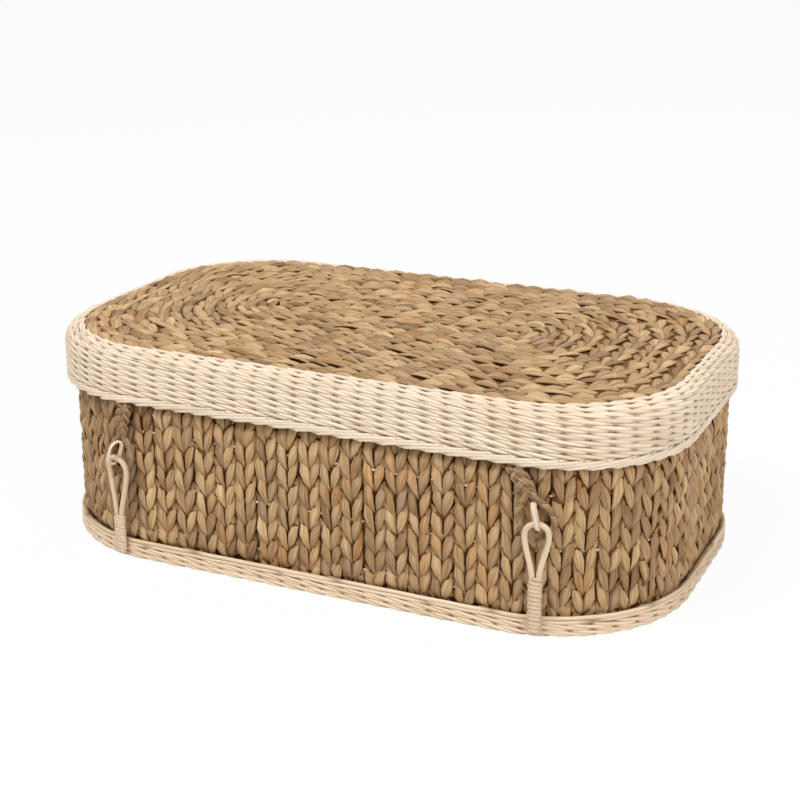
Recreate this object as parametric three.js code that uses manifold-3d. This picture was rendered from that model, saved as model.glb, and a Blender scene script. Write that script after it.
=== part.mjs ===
// A woven keepsake casket with a lift-off lid. The wall is plaited water hyacinth on a pale cane
// foot. The lid is one long plait, laid as a flat spiral inside a deep skirt of waled cane. Four
// closures tie it down, each a plaited strap with an oval eye, a cane link and a cane loop.
// Millimetres, +Z up, origin on the ground under the middle. The front long side faces -Y.
import * as THREE from "three";
import { mergeVertices } from "three/addons/utils/BufferGeometryUtils.js";
import Module from "manifold-3d";

const wasm = await Module();
wasm.setup();

const clearance = 0.3; // between pieces that rest against each other
const quarterTurn = Math.PI / 2;

const wall = {
  length: 494, // over the plaits
  depth: 299,
  cornerRadius: 105,
  height: 143.5, // top of the weave above the ground
  thickness: 9,
  columns: 82, // upright plaits round the wall
  relief: 1.8, // a plait stands this far out of the grooves beside it
  flare: 0.3, // the wall leans out this far just above the trim
  flareRise: 2, // and has come out of the trim at this height above it
  neckRise: 4.4, // height over which the wall draws in under the lid
};

const trim = {
  height: 15.3,
  proud: 3, // past the plaits of the wall
  thickness: 3.8,
  rows: 3,
  rowRelief: 1,
  flangeWidth: 17, // turned in under the wall
  flangeThickness: 2.2,
  edge: 1.5, // bevel along the foot
};

const floor = {
  thickness: 7,
  edge: 1.6,
};

const wallBorder = {
  height: 6.2,
  width: 8,
  overhang: 0.4, // past the outside of the wall
  edge: 1.8,
};

const lid = {
  overhang: 3, // past the plaits of the wall
  cornerTightening: 8, // its corners are this much tighter than the wall's
  skirtHeight: 42.5,
  skirtThickness: 5.9,
  fit: 1.6, // round the neck of the wall
  topThickness: 8.8, // from the hoop's top to the top of the skirt
};

const skirt = {
  rows: 9, // of three-rod wale, two of whose strands show
  relief: 1,
  recess: 0.4, // behind the rolled border
  shoulderWidth: 13.2,
  shoulderRise: 13.1,
};

const lidBorder = {
  height: 6.9,
  width: 6.4,
};

const hoop = {
  diameter: 5.8,
  inset: 9.75, // centre, from the outside of the lid
};

const panel = {
  cornerTightening: 5, // against the outside of the lid
  turns: 9,
  gap: 0.7, // between turns of the plait
  thickness: 8.4,
  setDown: 0.5, // below the top of the skirt
  dome: 3.6,
  endWidthShare: 0.25, // the plait tapers to this share of its width at both ends
};

const cane = {
  diameter: 4.1,
  limbGap: 0.4, // between the two limbs in the whipping
  footHeight: 5,
  eyeHalfWidth: 8.1, // middle of the loop to the middle of its limb
  eyeHeight: 10.5, // from the widest place up to the nose
};

const whipping = {
  foot: 4,
  stripWidth: 2.6,
  stripThickness: 0.8,
  slack: 0.3, // round the limbs
  gap: 0.45, // between turns
};

const strap = {
  thickness: 4.4,
  width: 12,
  plaits: 3, // crossings between the lid and the eye
  waistShare: 0.82, // width at a crossing, as a share of the full width
  cord: 4.4,
  eyeWidth: 27.5,
  eyeHeight: 28, // from the crotch to the middle of the cord below
  crotchLeanShare: 0.4, // of the way that the top of the strap is off to the side
};

const link = {
  strandWidth: 3.6,
  strandThickness: 2.2,
  play: 0.7, // round the nose of the cane loop
  straight: 7.6,
  leanDegrees: 3, // towards the strap
};

// The two closures on a long side are tied by hand, so they differ. Each is so far from the end of
// the wall, its loop's nose and its strap's crotch hang so far below the skirt, and its strap starts
// so far to the side, towards the middle of the lid.
const closures = {
  right: { fromEnd: 79, whippingTop: 43.5, noseDrop: 35.9, crotchDrop: 20.4, strapStart: -13 },
  left: { fromEnd: 88, whippingTop: 36.5, noseDrop: 39.9, crotchDrop: 25.9, strapStart: 9 },
};

const ringSteps = 8; // in each corner of a cane ring
const panelSteps = 4; // in each corner of a turn of the lid's plait
const roundSides = 8;
const strandSides = 6;

// Heights and insets that follow from the sizes above
const wallFoot = trim.flangeThickness + clearance;
const trimInside = trim.proud - trim.thickness;
const wallBorderTop = wall.height + clearance + wallBorder.height;
const hoopMiddle = wallBorderTop + clearance + hoop.diameter / 2;
const lidTop = hoopMiddle + hoop.diameter / 2 + lid.topThickness;
const skirtBottom = lidTop - lid.skirtHeight;
const neckOffset = lid.overhang - lid.skirtThickness - lid.fit;
const lidLength = wall.length + 2 * lid.overhang;
const lidDepth = wall.depth + 2 * lid.overhang;
const lidCornerRadius = wall.cornerRadius - lid.cornerTightening;

const hyacinth = new THREE.MeshStandardMaterial({ color: "#b08a57", roughness: 0.8, metalness: 0 });
const plait = new THREE.MeshStandardMaterial({ color: "#ab8553", roughness: 0.8, metalness: 0 });
const paleCane = new THREE.MeshStandardMaterial({ color: "#ecd0a6", roughness: 0.6, metalness: 0 });
const bindingCane = new THREE.MeshStandardMaterial({ color: "#dcb88a", roughness: 0.55, metalness: 0 });

const casket = new THREE.Group();
const lidGroup = new THREE.Group();
casket.add(lidGroup);

function addPiece(group, name, geometry, material) {
  const mesh = new THREE.Mesh(geometry, material);
  mesh.name = name;
  group.add(mesh);
}

// A closed solid through rings of points. Joined rings make a hoop, other rings get an end cap each.
function skin(rings, joined = false) {
  const around = rings[0].length;
  const points = rings.flat();
  const faces = [];
  const bands = joined ? rings.length : rings.length - 1;
  for (let i = 0; i < bands; i++) {
    const near = i * around;
    const far = ((i + 1) % rings.length) * around;
    for (let j = 0; j < around; j++) {
      const next = (j + 1) % around;
      faces.push(near + j, near + next, far + next);
      faces.push(near + j, far + next, far + j);
    }
  }
  if (!joined) {
    const last = (rings.length - 1) * around;
    for (let j = 1; j < around - 1; j++) {
      faces.push(0, j + 1, j);
      faces.push(last, last + j, last + j + 1);
    }
  }
  const geometry = new THREE.BufferGeometry().setFromPoints(points);
  geometry.setIndex(facingOut(points, faces));
  geometry.computeVertexNormals();
  return geometry;
}

function facingOut(points, faces) {
  let volume = 0;
  for (let i = 0; i < faces.length; i += 3) {
    const [a, b, c] = faces.slice(i, i + 3).map((index) => points[index]);
    volume += a.dot(b.clone().cross(c));
  }
  return volume < 0 ? faces.reverse() : faces;
}

// The corners of a rectangle in the order front right, back right, back left, front left.
function cornerMiddle(corner, length, depth, radius) {
  const sideX = corner < 2 ? 1 : -1;
  const sideY = corner === 1 || corner === 2 ? 1 : -1;
  return new THREE.Vector2(sideX * (length / 2 - radius), sideY * (depth / 2 - radius));
}

// A place on a rounded rectangle: so far round a corner, then so far along the side after it.
function outlinePoint(corner, turned, beyond, length, depth, radius) {
  const angle = (corner - 1 + turned) * quarterTurn;
  const normal = new THREE.Vector2(Math.cos(angle), Math.sin(angle));
  const along = new THREE.Vector2(-Math.sin(angle), Math.cos(angle));
  const place = cornerMiddle(corner, length, depth, radius);
  place.addScaledVector(normal, radius).addScaledVector(along, beyond);
  return { place, normal };
}

function roundedRectangle(length, depth, radius, steps) {
  const outline = [];
  for (let corner = 0; corner < 4; corner++) {
    for (let step = 0; step <= steps; step++) {
      outline.push(outlinePoint(corner, step / steps, 0, length, depth, radius));
    }
  }
  return outline;
}

function evenlyRound(length, depth, radius, count) {
  const arc = quarterTurn * radius;
  const sides = [depth, length, depth, length].map((side) => side - 2 * radius);
  const perimeter = sides.reduce((sum, side) => sum + side + arc, 0);
  const outline = [];
  for (let i = 0; i < count; i++) {
    let travelled = (i / count) * perimeter;
    let corner = 0;
    while (travelled > arc + sides[corner]) {
      travelled -= arc + sides[corner];
      corner++;
    }
    const turned = Math.min(travelled / arc, 1);
    const beyond = Math.max(travelled - arc, 0);
    outline.push(outlinePoint(corner, turned, beyond, length, depth, radius));
  }
  return outline;
}

// How far the flats of a ring with few steps come inside its true corner.
function flatSag(radius, steps) {
  return radius * (1 - Math.cos(quarterTurn / (2 * steps)));
}

function offsetPoint(point, out, z) {
  const { place, normal } = point;
  return new THREE.Vector3(place.x + normal.x * out, place.y + normal.y * out, z);
}

// A ring with one profile all the way round, given as [distance out, height] pairs.
function ringOf(outline, profile) {
  return skin(outline.map((point) => profile.map(([out, z]) => offsetPoint(point, out, z))), true);
}

// Rows of round strokes up a path: a groove at each end of a row and a crest in its middle.
function rowProfile(rows, relief, pathAt) {
  const profile = [];
  for (let i = 0; i <= 2 * rows; i++) {
    const { out, z, outward, upward } = pathAt(i / (2 * rows));
    const depth = i % 2 === 0 ? relief : 0;
    profile.push([out - depth * outward, z - depth * upward]);
  }
  return profile;
}

function wallWeave() {
  const outline = evenlyRound(wall.length, wall.depth, wall.cornerRadius, 2 * wall.columns);
  const footOut = trimInside - clearance - flatSag(wall.cornerRadius, ringSteps);
  const footIn = footOut - wall.thickness;
  const neckIn = neckOffset - wall.thickness;
  const neckTop = skirtBottom - clearance;
  const neckFoot = neckTop - wall.neckRise;
  const rings = outline.map((point, i) => {
    const groove = i % 2 === 0 ? 0 : wall.relief;
    const profile = [
      [footOut - groove, wallFoot],
      [footOut - groove, trim.height - clearance],
      [wall.flare - groove, trim.height + wall.flareRise],
      [-groove, neckFoot],
      [neckOffset - groove, neckTop],
      [neckOffset - groove, wall.height],
      [neckIn, wall.height],
      [neckIn, neckTop],
      [footIn, neckFoot],
      [footIn, wallFoot],
    ];
    return profile.map(([out, z]) => offsetPoint(point, out, z));
  });
  return skin(rings, true);
}

function wallRing() {
  return roundedRectangle(wall.length, wall.depth, wall.cornerRadius, ringSteps);
}

function baseTrim() {
  const rise = trim.height - trim.edge;
  const rows = rowProfile(trim.rows, trim.rowRelief, (share) => {
    return { out: trim.proud, z: trim.edge + share * rise, outward: 1, upward: 0 };
  });
  const flangeInside = trimInside - trim.flangeWidth;
  return ringOf(wallRing(), [
    [trim.proud - trim.rowRelief - trim.edge, 0],
    ...rows,
    [trimInside, trim.height],
    [trimInside, trim.flangeThickness],
    [flangeInside, trim.flangeThickness],
    [flangeInside, 0],
  ]);
}

function basePanel() {
  const footOut = trimInside - clearance - flatSag(wall.cornerRadius, ringSteps);
  const edgeOut = footOut - wall.thickness - clearance;
  const bottom = trim.flangeThickness + clearance;
  const top = bottom + floor.thickness;
  const levels = [
    [edgeOut - floor.edge, bottom],
    [edgeOut, bottom + floor.edge],
    [edgeOut, top - floor.edge],
    [edgeOut - floor.edge, top],
  ];
  const outline = wallRing();
  return skin(levels.map(([out, z]) => outline.map((point) => offsetPoint(point, out, z))));
}

function roundWallBorder() {
  const bottom = wall.height + clearance;
  const outside = neckOffset + wallBorder.overhang;
  const inside = outside - wallBorder.width;
  return ringOf(wallRing(), [
    [outside - wallBorder.edge, bottom],
    [outside, bottom + wallBorder.edge],
    [outside, wallBorderTop - wallBorder.edge],
    [outside - wallBorder.edge, wallBorderTop],
    [inside + wallBorder.edge, wallBorderTop],
    [inside, wallBorderTop - wallBorder.edge],
    [inside, bottom + wallBorder.edge],
    [inside + wallBorder.edge, bottom],
  ]);
}

// The lid lies between its outside and the edge of its panel, which has corners of its own, so an
// inset is a share of the way from one outline to the other.
const panelLength = lidLength - 2 * skirt.shoulderWidth;
const panelDepth = lidDepth - 2 * skirt.shoulderWidth;
const panelCornerRadius = lidCornerRadius - panel.cornerTightening;

function lidRingOf(profile) {
  const outside = roundedRectangle(lidLength, lidDepth, lidCornerRadius, ringSteps);
  const inside = roundedRectangle(panelLength, panelDepth, panelCornerRadius, ringSteps);
  const rings = outside.map((point, i) =>
    profile.map(([inset, z]) => {
      const place = point.place.clone().lerp(inside[i].place, inset / skirt.shoulderWidth);
      return new THREE.Vector3(place.x, place.y, z);
    }),
  );
  return skin(rings, true);
}

const shoulderFoot = lidTop - skirt.shoulderRise;

// Up the outside of the skirt, then round the shoulder to the edge of the panel.
function skirtPath(share, bottom) {
  const upright = shoulderFoot - bottom;
  const round = (quarterTurn * (skirt.shoulderWidth + skirt.shoulderRise)) / 2;
  const travelled = share * (upright + round);
  if (travelled <= upright) {
    return { out: -skirt.recess, z: bottom + travelled, outward: 1, upward: 0 };
  }
  const angle = ((travelled - upright) / round) * quarterTurn;
  const width = skirt.shoulderWidth - skirt.recess;
  return {
    out: -skirt.recess - width * (1 - Math.cos(angle)),
    z: shoulderFoot + skirt.shoulderRise * Math.sin(angle),
    outward: Math.cos(angle),
    upward: Math.sin(angle),
  };
}

function lidBand() {
  const bottom = skirtBottom + lidBorder.height + clearance;
  const rows = rowProfile(skirt.rows, skirt.relief, (share) => skirtPath(share, bottom));
  const insideRadius = skirt.shoulderWidth - lid.skirtThickness;
  const inside = [quarterTurn, quarterTurn / 2, 0].map((angle) => [
    skirt.shoulderWidth - insideRadius * Math.cos(angle),
    shoulderFoot + insideRadius * Math.sin(angle),
  ]);
  return lidRingOf([
    ...rows.map(([out, z]) => [-out, z]),
    ...inside,
    [lid.skirtThickness, bottom],
  ]);
}

function rolledLidBorder() {
  const middle = skirtBottom + lidBorder.height / 2;
  const profile = [];
  for (let side = 0; side < roundSides; side++) {
    const angle = ((side + 1 / 2) / roundSides) * 2 * Math.PI;
    const reach = 1 / Math.cos(Math.PI / roundSides);
    profile.push([
      (lidBorder.width / 2) * (1 - reach * Math.cos(angle)),
      middle + (lidBorder.height / 2) * reach * Math.sin(angle),
    ]);
  }
  return lidRingOf(profile);
}

function roundHoop() {
  const profile = [];
  for (let side = 0; side < roundSides; side++) {
    const angle = (side / roundSides) * 2 * Math.PI;
    profile.push([
      hoop.inset - (hoop.diameter / 2) * Math.cos(angle),
      hoopMiddle + (hoop.diameter / 2) * Math.sin(angle),
    ]);
  }
  return lidRingOf(profile);
}

// The plait of the lid: a tube whose two edges follow outlines that grow from a straight core to the
// edge of the panel. A turn steps out by one width along the back, so both ends of the plait taper.
const panelReach = panelDepth / 2 - clearance;
const panelCore = panelLength - panelDepth;
const plaitPitch = panelReach / panel.turns;
const longSideSteps = 3;

function turnOutline(reach) {
  const squareness = 1 - (panelCornerRadius - clearance) / panelReach;
  const radius = reach * (1 - (squareness * reach) / panelReach);
  const length = panelCore + 2 * reach;
  const places = [];
  for (let corner = 0; corner < 4; corner++) {
    for (let step = 0; step <= panelSteps; step++) {
      const { place } = outlinePoint(corner, step / panelSteps, 0, length, 2 * reach, radius);
      places.push(place);
    }
    const longSideAhead = corner % 2 === 1;
    for (let step = 1; longSideAhead && step < longSideSteps; step++) {
      const beyond = (step / longSideSteps) * (length - 2 * radius);
      places.push(outlinePoint(corner, 1, beyond, length, 2 * reach, radius).place);
    }
  }
  return places;
}

const placesInTurn = turnOutline(panelReach).length;
const stepFrom = panelSteps + 1;
const stepTo = placesInTurn - 2 * (panelSteps + 1) + panelSteps - longSideSteps + 1;

function turnReach(index) {
  const turn = Math.floor(index / placesInTurn);
  const place = index - turn * placesInTurn;
  return plaitPitch * (turn + THREE.MathUtils.smoothstep(place, stepFrom, stepTo));
}

function spiralRings() {
  const acrossShares = [0, 0.2, 0.8, 1, 0.8, 0.2];
  const upShares = [0, 1, 1, 0, -1, -1];
  const middle = lidTop - panel.setDown - panel.thickness / 2;
  const least = panel.endWidthShare * plaitPitch;
  const rings = [];
  for (let index = 0; index < (panel.turns + 1) * placesInTurn; index++) {
    const outer = Math.min(turnReach(index), panelReach);
    const inner = Math.max(turnReach(index - placesInTurn), 0);
    if (outer - inner < least) continue;
    const insideEdge = turnOutline(inner + panel.gap / 2)[index % placesInTurn];
    const outsideEdge = turnOutline(outer - panel.gap / 2)[index % placesInTurn];
    rings.push(
      acrossShares.map((across, side) => {
        const place = insideEdge.clone().lerp(outsideEdge, across);
        const reachShare = THREE.MathUtils.lerp(inner, outer, across) / panelReach;
        const crown = panel.dome * (1 - reachShare * reachShare);
        const z = middle + crown + (upShares[side] * panel.thickness) / 2;
        return new THREE.Vector3(place.x, place.y, z);
      }),
    );
  }
  return rings;
}

// The least distance between rings of one tube that lie about a turn or more apart.
function leastGap(rings, ringsInTurn) {
  let least = Infinity;
  for (let i = 0; i < rings.length; i++) {
    for (let j = i + Math.floor(ringsInTurn / 2); j < rings.length; j++) {
      for (const a of rings[i]) {
        for (const b of rings[j]) least = Math.min(least, a.distanceTo(b));
      }
    }
  }
  return least;
}

function lidPanel() {
  const rings = spiralRings();
  console.log("lid plait, least gap between turns:", leastGap(rings, placesInTurn).toFixed(2), "mm");
  return skin(rings);
}

// A tube along points. Its section is round, or flattened along the reference direction.
function tube(places, reference, width, thickness, sides, joined = false) {
  const count = places.length;
  const rings = places.map((place, i) => {
    const before = joined ? places[(i + count - 1) % count] : places[Math.max(i - 1, 0)];
    const after = joined ? places[(i + 1) % count] : places[Math.min(i + 1, count - 1)];
    const along = after.clone().sub(before).normalize();
    const sideways = along.clone().cross(reference).normalize();
    const outwards = sideways.clone().cross(along).normalize();
    const ring = [];
    for (let side = 0; side < sides; side++) {
      const angle = (side / sides) * 2 * Math.PI;
      const point = place.clone();
      point.addScaledVector(sideways, (Math.cos(angle) * width) / 2);
      point.addScaledVector(outwards, (Math.sin(angle) * thickness) / 2);
      ring.push(point);
    }
    return ring;
  });
  return skin(rings, joined);
}

// Closures are made facing out along -Y, with x along the wall and their middle at x = 0.
const outAxis = new THREE.Vector3(0, -1, 0);

function outFromWall(x, out, z) {
  return new THREE.Vector3(x, -out, z);
}

const strapBack = wall.flare + clearance;
const strapMiddle = strapBack + strap.thickness / 2;
const strapFront = strapBack + strap.thickness;
const linkEndRadius = cane.diameter / 2 + link.play + link.strandThickness / 2;
const linkHalfDepth = linkEndRadius + link.strandThickness / 2;
const linkLean = THREE.MathUtils.degToRad(link.leanDegrees);
const linkReach = link.straight + linkHalfDepth;
const noseOut = strapFront + clearance + linkHalfDepth + linkReach * Math.sin(linkLean);
const limbMiddle = (cane.diameter + cane.limbGap) / 2;
const whippingInside = cane.diameter / 2 + whipping.slack;
const limbOut = trim.proud + clearance + whipping.stripThickness + whippingInside;

function caneLoop(sizes) {
  const noseHeight = skirtBottom - sizes.noseDrop;
  const widest = noseHeight - cane.eyeHeight;
  const widestOut = strapFront + clearance + cane.diameter / 2 + clearance;
  const right = [
    outFromWall(limbMiddle, limbOut, cane.footHeight),
    outFromWall(limbMiddle, limbOut, (cane.footHeight + sizes.whippingTop) / 2),
    outFromWall(limbMiddle, limbOut, sizes.whippingTop),
    outFromWall(cane.eyeHalfWidth, widestOut, widest),
  ];
  const shoulderShares = { across: 0.74, out: 0.62, up: 0.72 };
  right.push(
    outFromWall(
      cane.eyeHalfWidth * shoulderShares.across,
      THREE.MathUtils.lerp(widestOut, noseOut, shoulderShares.out),
      widest + cane.eyeHeight * shoulderShares.up,
    ),
  );
  const nose = outFromWall(0, noseOut, noseHeight);
  const left = right.map((place) => new THREE.Vector3(-place.x, place.y, place.z)).reverse();
  const route = new THREE.CatmullRomCurve3([...right, nose, ...left], false, "centripetal");
  const caneSteps = 30;
  return tube(route.getPoints(caneSteps), outAxis, cane.diameter, cane.diameter, roundSides);
}

// A flat strip of cane wound up the two limbs as one unbroken helix.
function loopWhipping(sizes) {
  const pitch = whipping.stripWidth + whipping.gap;
  const turns = Math.floor((sizes.whippingTop - whipping.foot - whipping.stripWidth) / pitch);
  const halfSteps = 4;
  const placesRound = 2 * (halfSteps + 1);
  const rings = [];
  for (let i = 0; i <= turns * placesRound; i++) {
    const place = i % placesRound;
    const end = place <= halfSteps ? 1 : -1;
    const step = place % (halfSteps + 1);
    const angle = (step / halfSteps) * Math.PI - quarterTurn + (end < 0 ? Math.PI : 0);
    const low = whipping.foot + (i / placesRound) * pitch;
    const strip = [
      [whippingInside, low],
      [whippingInside + whipping.stripThickness, low],
      [whippingInside + whipping.stripThickness, low + whipping.stripWidth],
      [whippingInside, low + whipping.stripWidth],
    ];
    rings.push(
      strip.map(([radius, z]) => {
        const x = end * limbMiddle + radius * Math.cos(angle);
        return outFromWall(x, limbOut - radius * Math.sin(angle), z);
      }),
    );
  }
  console.log("whipping, least gap between turns:", leastGap(rings, placesRound).toFixed(2), "mm");
  return skin(rings);
}

function toSolid(geometry) {
  const bare = geometry.clone();
  bare.deleteAttribute("normal");
  const merged = mergeVertices(bare);
  return new wasm.Manifold(
    new wasm.Mesh({
      numProp: 3,
      vertProperties: new Float32Array(merged.attributes.position.array),
      triVerts: new Uint32Array(merged.index.array),
    }),
  );
}

function toGeometry(solid) {
  const mesh = solid.getMesh();
  const geometry = new THREE.BufferGeometry();
  geometry.setAttribute("position", new THREE.BufferAttribute(mesh.vertProperties, 3));
  geometry.setIndex(new THREE.BufferAttribute(mesh.triVerts, 1));
  geometry.computeVertexNormals();
  return geometry;
}

// The plait comes down from the lid's border and parts into the cord of an oval eye.
function lidStrap(sizes) {
  const top = skirtBottom - clearance;
  const crotch = skirtBottom - sizes.crotchDrop;
  const crotchAside = strap.crotchLeanShare * sizes.strapStart;
  const crossings = [];
  for (let i = 0; i <= 2 * strap.plaits; i++) {
    const share = i / (2 * strap.plaits);
    const width = strap.width * (i % 2 === 0 ? strap.waistShare : 1);
    const aside = THREE.MathUtils.lerp(crotchAside, sizes.strapStart, share);
    const z = THREE.MathUtils.lerp(crotch, top, share);
    const ring = [];
    for (let side = 0; side < roundSides; side++) {
      const angle = ((side + 1 / 2) / roundSides) * 2 * Math.PI;
      const reach = 1 / Math.cos(Math.PI / roundSides);
      const out = strapMiddle + (strap.thickness / 2) * reach * Math.sin(angle);
      ring.push(outFromWall(aside + (width / 2) * Math.cos(angle), out, z));
    }
    crossings.push(ring);
  }
  const half = (strap.eyeWidth - strap.cord) / 2;
  const eyeShares = [
    [0.22, 0.14],
    [0.24, 0],
    [0.62, -0.16],
    [0.97, -0.42],
    [0.93, -0.7],
    [0.52, -0.94],
  ];
  const cordPlace = (across, up) => {
    const aside = crotchAside * (1 + up);
    return outFromWall(aside + half * across, strapMiddle, crotch + strap.eyeHeight * up);
  };
  const right = eyeShares.map(([across, up]) => cordPlace(across, up));
  const bottom = cordPlace(0, -1);
  const left = eyeShares.map(([across, up]) => cordPlace(-across, up)).reverse();
  const route = new THREE.CatmullRomCurve3([...right, bottom, ...left], false, "centripetal");
  const eyeSteps = 20;
  const cordFacet = strap.cord / Math.cos(Math.PI / roundSides);
  const eye = tube(route.getPoints(eyeSteps), outAxis, cordFacet, strap.cord, roundSides);
  return toGeometry(toSolid(skin(crossings)).add(toSolid(eye)));
}

function oblongLink() {
  const endSteps = 6;
  const places = [];
  for (const end of [1, -1]) {
    for (let step = 0; step <= endSteps; step++) {
      const angle = (step / endSteps) * Math.PI + (end < 0 ? Math.PI : 0);
      const out = linkEndRadius * Math.cos(angle);
      const z = linkEndRadius * Math.sin(angle) + (end > 0 ? link.straight : 0);
      places.push(outFromWall(0, out, z));
    }
  }
  const alongWall = new THREE.Vector3(1, 0, 0);
  return tube(places, alongWall, link.strandThickness, link.strandWidth, strandSides, true);
}

// Where the wall's outside is at a distance along it, and how far its face is turned there.
function wallFaceAt(x) {
  const middle = cornerMiddle(0, wall.length, wall.depth, wall.cornerRadius);
  const past = Math.max(Math.abs(x) - middle.x, 0);
  const turned = Math.asin(past / wall.cornerRadius) * Math.sign(x);
  return { y: middle.y - wall.cornerRadius * Math.cos(turned), turned };
}

// The back closures are the front ones turned half round the casket, so a left one is a right one.
function addClosure(face, end) {
  const name = `${face}_${end}`;
  const isRightOfItsFace = (end === "right") === (face === "front");
  const sizes = isRightOfItsFace ? closures.right : closures.left;
  const x = (isRightOfItsFace ? 1 : -1) * (wall.length / 2 - sizes.fromEnd);
  const { y, turned } = wallFaceAt(x);
  const faceTurn = face === "front" ? 0 : Math.PI;
  for (const [owner, pieces] of [
    [
      casket,
      {
        cane_loop: [caneLoop(sizes), paleCane],
        loop_whipping: [loopWhipping(sizes), bindingCane],
      },
    ],
    [lidGroup, { strap: [lidStrap(sizes), plait] }],
  ]) {
    const side = new THREE.Group();
    side.rotation.z = faceTurn;
    const stand = new THREE.Group();
    stand.position.set(x, y, 0);
    stand.rotation.z = turned;
    side.add(stand);
    owner.add(side);
    for (const [piece, [geometry, material]] of Object.entries(pieces)) {
      addPiece(stand, `${piece}_${name}`, geometry, material);
    }
    if (owner === casket) {
      const pivot = new THREE.Group();
      pivot.position.copy(outFromWall(0, noseOut, skirtBottom - sizes.noseDrop));
      pivot.rotation.x = -linkLean;
      stand.add(pivot);
      addPiece(pivot, `link_${name}`, oblongLink(), bindingCane);
    }
  }
}

addPiece(casket, "base_trim", baseTrim(), paleCane);
addPiece(casket, "base_panel", basePanel(), hyacinth);
addPiece(casket, "wall_weave", wallWeave(), hyacinth);
addPiece(casket, "wall_border", roundWallBorder(), paleCane);
addPiece(lidGroup, "lid_hoop", roundHoop(), paleCane);
addPiece(lidGroup, "lid_border", rolledLidBorder(), paleCane);
addPiece(lidGroup, "lid_band", lidBand(), paleCane);
addPiece(lidGroup, "lid_panel", lidPanel(), plait);
for (const face of ["front", "back"]) {
  for (const end of ["left", "right"]) addClosure(face, end);
}

export default casket;
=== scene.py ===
# A woven keepsake casket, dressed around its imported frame.
# Metres in the scene and millimetres in the sizes, +Z up, the front long side faces -Y.
import math

import bpy
import numpy as np
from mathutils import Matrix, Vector


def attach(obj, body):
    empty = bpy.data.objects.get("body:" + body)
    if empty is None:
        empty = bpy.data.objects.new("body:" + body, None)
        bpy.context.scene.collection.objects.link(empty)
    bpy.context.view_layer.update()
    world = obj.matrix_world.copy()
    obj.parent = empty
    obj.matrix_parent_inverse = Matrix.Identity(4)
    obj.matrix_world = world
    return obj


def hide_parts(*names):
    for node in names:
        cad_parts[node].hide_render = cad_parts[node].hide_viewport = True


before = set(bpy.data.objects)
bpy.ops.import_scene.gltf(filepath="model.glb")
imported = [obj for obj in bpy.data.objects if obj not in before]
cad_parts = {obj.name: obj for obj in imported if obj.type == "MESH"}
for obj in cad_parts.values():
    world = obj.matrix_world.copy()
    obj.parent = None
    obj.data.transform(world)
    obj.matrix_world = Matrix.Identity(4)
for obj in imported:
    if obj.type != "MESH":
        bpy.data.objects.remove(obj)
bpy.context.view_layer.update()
bpy.context.scene.view_settings.view_transform = "Standard"
mm = 0.001

# The sizes of the frame, which every woven piece follows
wall = {"length": 494, "depth": 299, "cornerRadius": 105, "height": 143.5, "thickness": 9, "columns": 82}
lid = {"length": 500, "depth": 305, "cornerRadius": 97, "top": 164.9, "skirtBottom": 122.4}
panel = {"length": 473.6, "depth": 278.6, "cornerRadius": 92}
edge = {"width": 13.2, "rise": 13.1, "recess": 0.4, "bandBottom": 129.6}
edge["foot"] = lid["top"] - edge["rise"]


# Camera and light
camera = {
    "azimuth": 24.452,
    "elevation": 18.79,
    "distance": 1.2579,
    "target": (0.00068, 0, 0.10041),
    "lens": 72.32,
}


def addCamera():
    azimuth = math.radians(camera["azimuth"])
    elevation = math.radians(camera["elevation"])
    level = math.cos(elevation)
    back = Vector((math.sin(azimuth) * level, -math.cos(azimuth) * level, math.sin(elevation)))
    bpy.ops.object.camera_add(
        location=Vector(camera["target"]) + back * camera["distance"],
        rotation=back.to_track_quat("Z", "Y").to_euler(),
    )
    view = bpy.context.object
    view.data.lens = camera["lens"]
    view.data.sensor_width = 36
    view.data.clip_end = 20
    bpy.context.scene.camera = view


# Each lamp: where it stands, its width and its power in watts
lamps = {
    "key": {"place": (-0.5, -1.1, 2.4), "width": 0.8, "power": 46.5},
    "fill": {"place": (2.0, -1.1, 1.3), "width": 1.2, "power": 28},
    "rim": {"place": (0.2, 1.9, 2.2), "width": 1.5, "power": 16},
}


def addLamps():
    for name, lamp in lamps.items():
        place = Vector(lamp["place"])
        aim = (place - Vector((0, 0, 0.08))).to_track_quat("Z", "Y").to_euler()
        bpy.ops.object.light_add(type="AREA", location=place, rotation=aim)
        light = bpy.context.object
        light.name = f"lamp_{name}"
        light.data.shape = "SQUARE"
        light.data.size = lamp["width"]
        light.data.energy = lamp["power"]


# Shader maths: a wrapped socket, on which + - * ** and abs add Math nodes
class Value:
    def __init__(self, finish, socket):
        self.finish = finish
        self.socket = socket

    def maths(self, operation, other=0.5, swapped=False):
        pair = (other, self) if swapped else (self, other)
        return self.finish.node("ShaderNodeMath", {"operation": operation}, *pair)

    def __add__(self, other):
        return self.maths("ADD", other)

    def __sub__(self, other):
        return self.maths("SUBTRACT", other)

    def __rsub__(self, other):
        return self.maths("SUBTRACT", other, swapped=True)

    def __mul__(self, other):
        return self.maths("MULTIPLY", other)

    def __pow__(self, other):
        return self.maths("POWER", other)

    def __abs__(self):
        return self.maths("ABSOLUTE")

    __radd__ = __add__
    __rmul__ = __mul__


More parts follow.
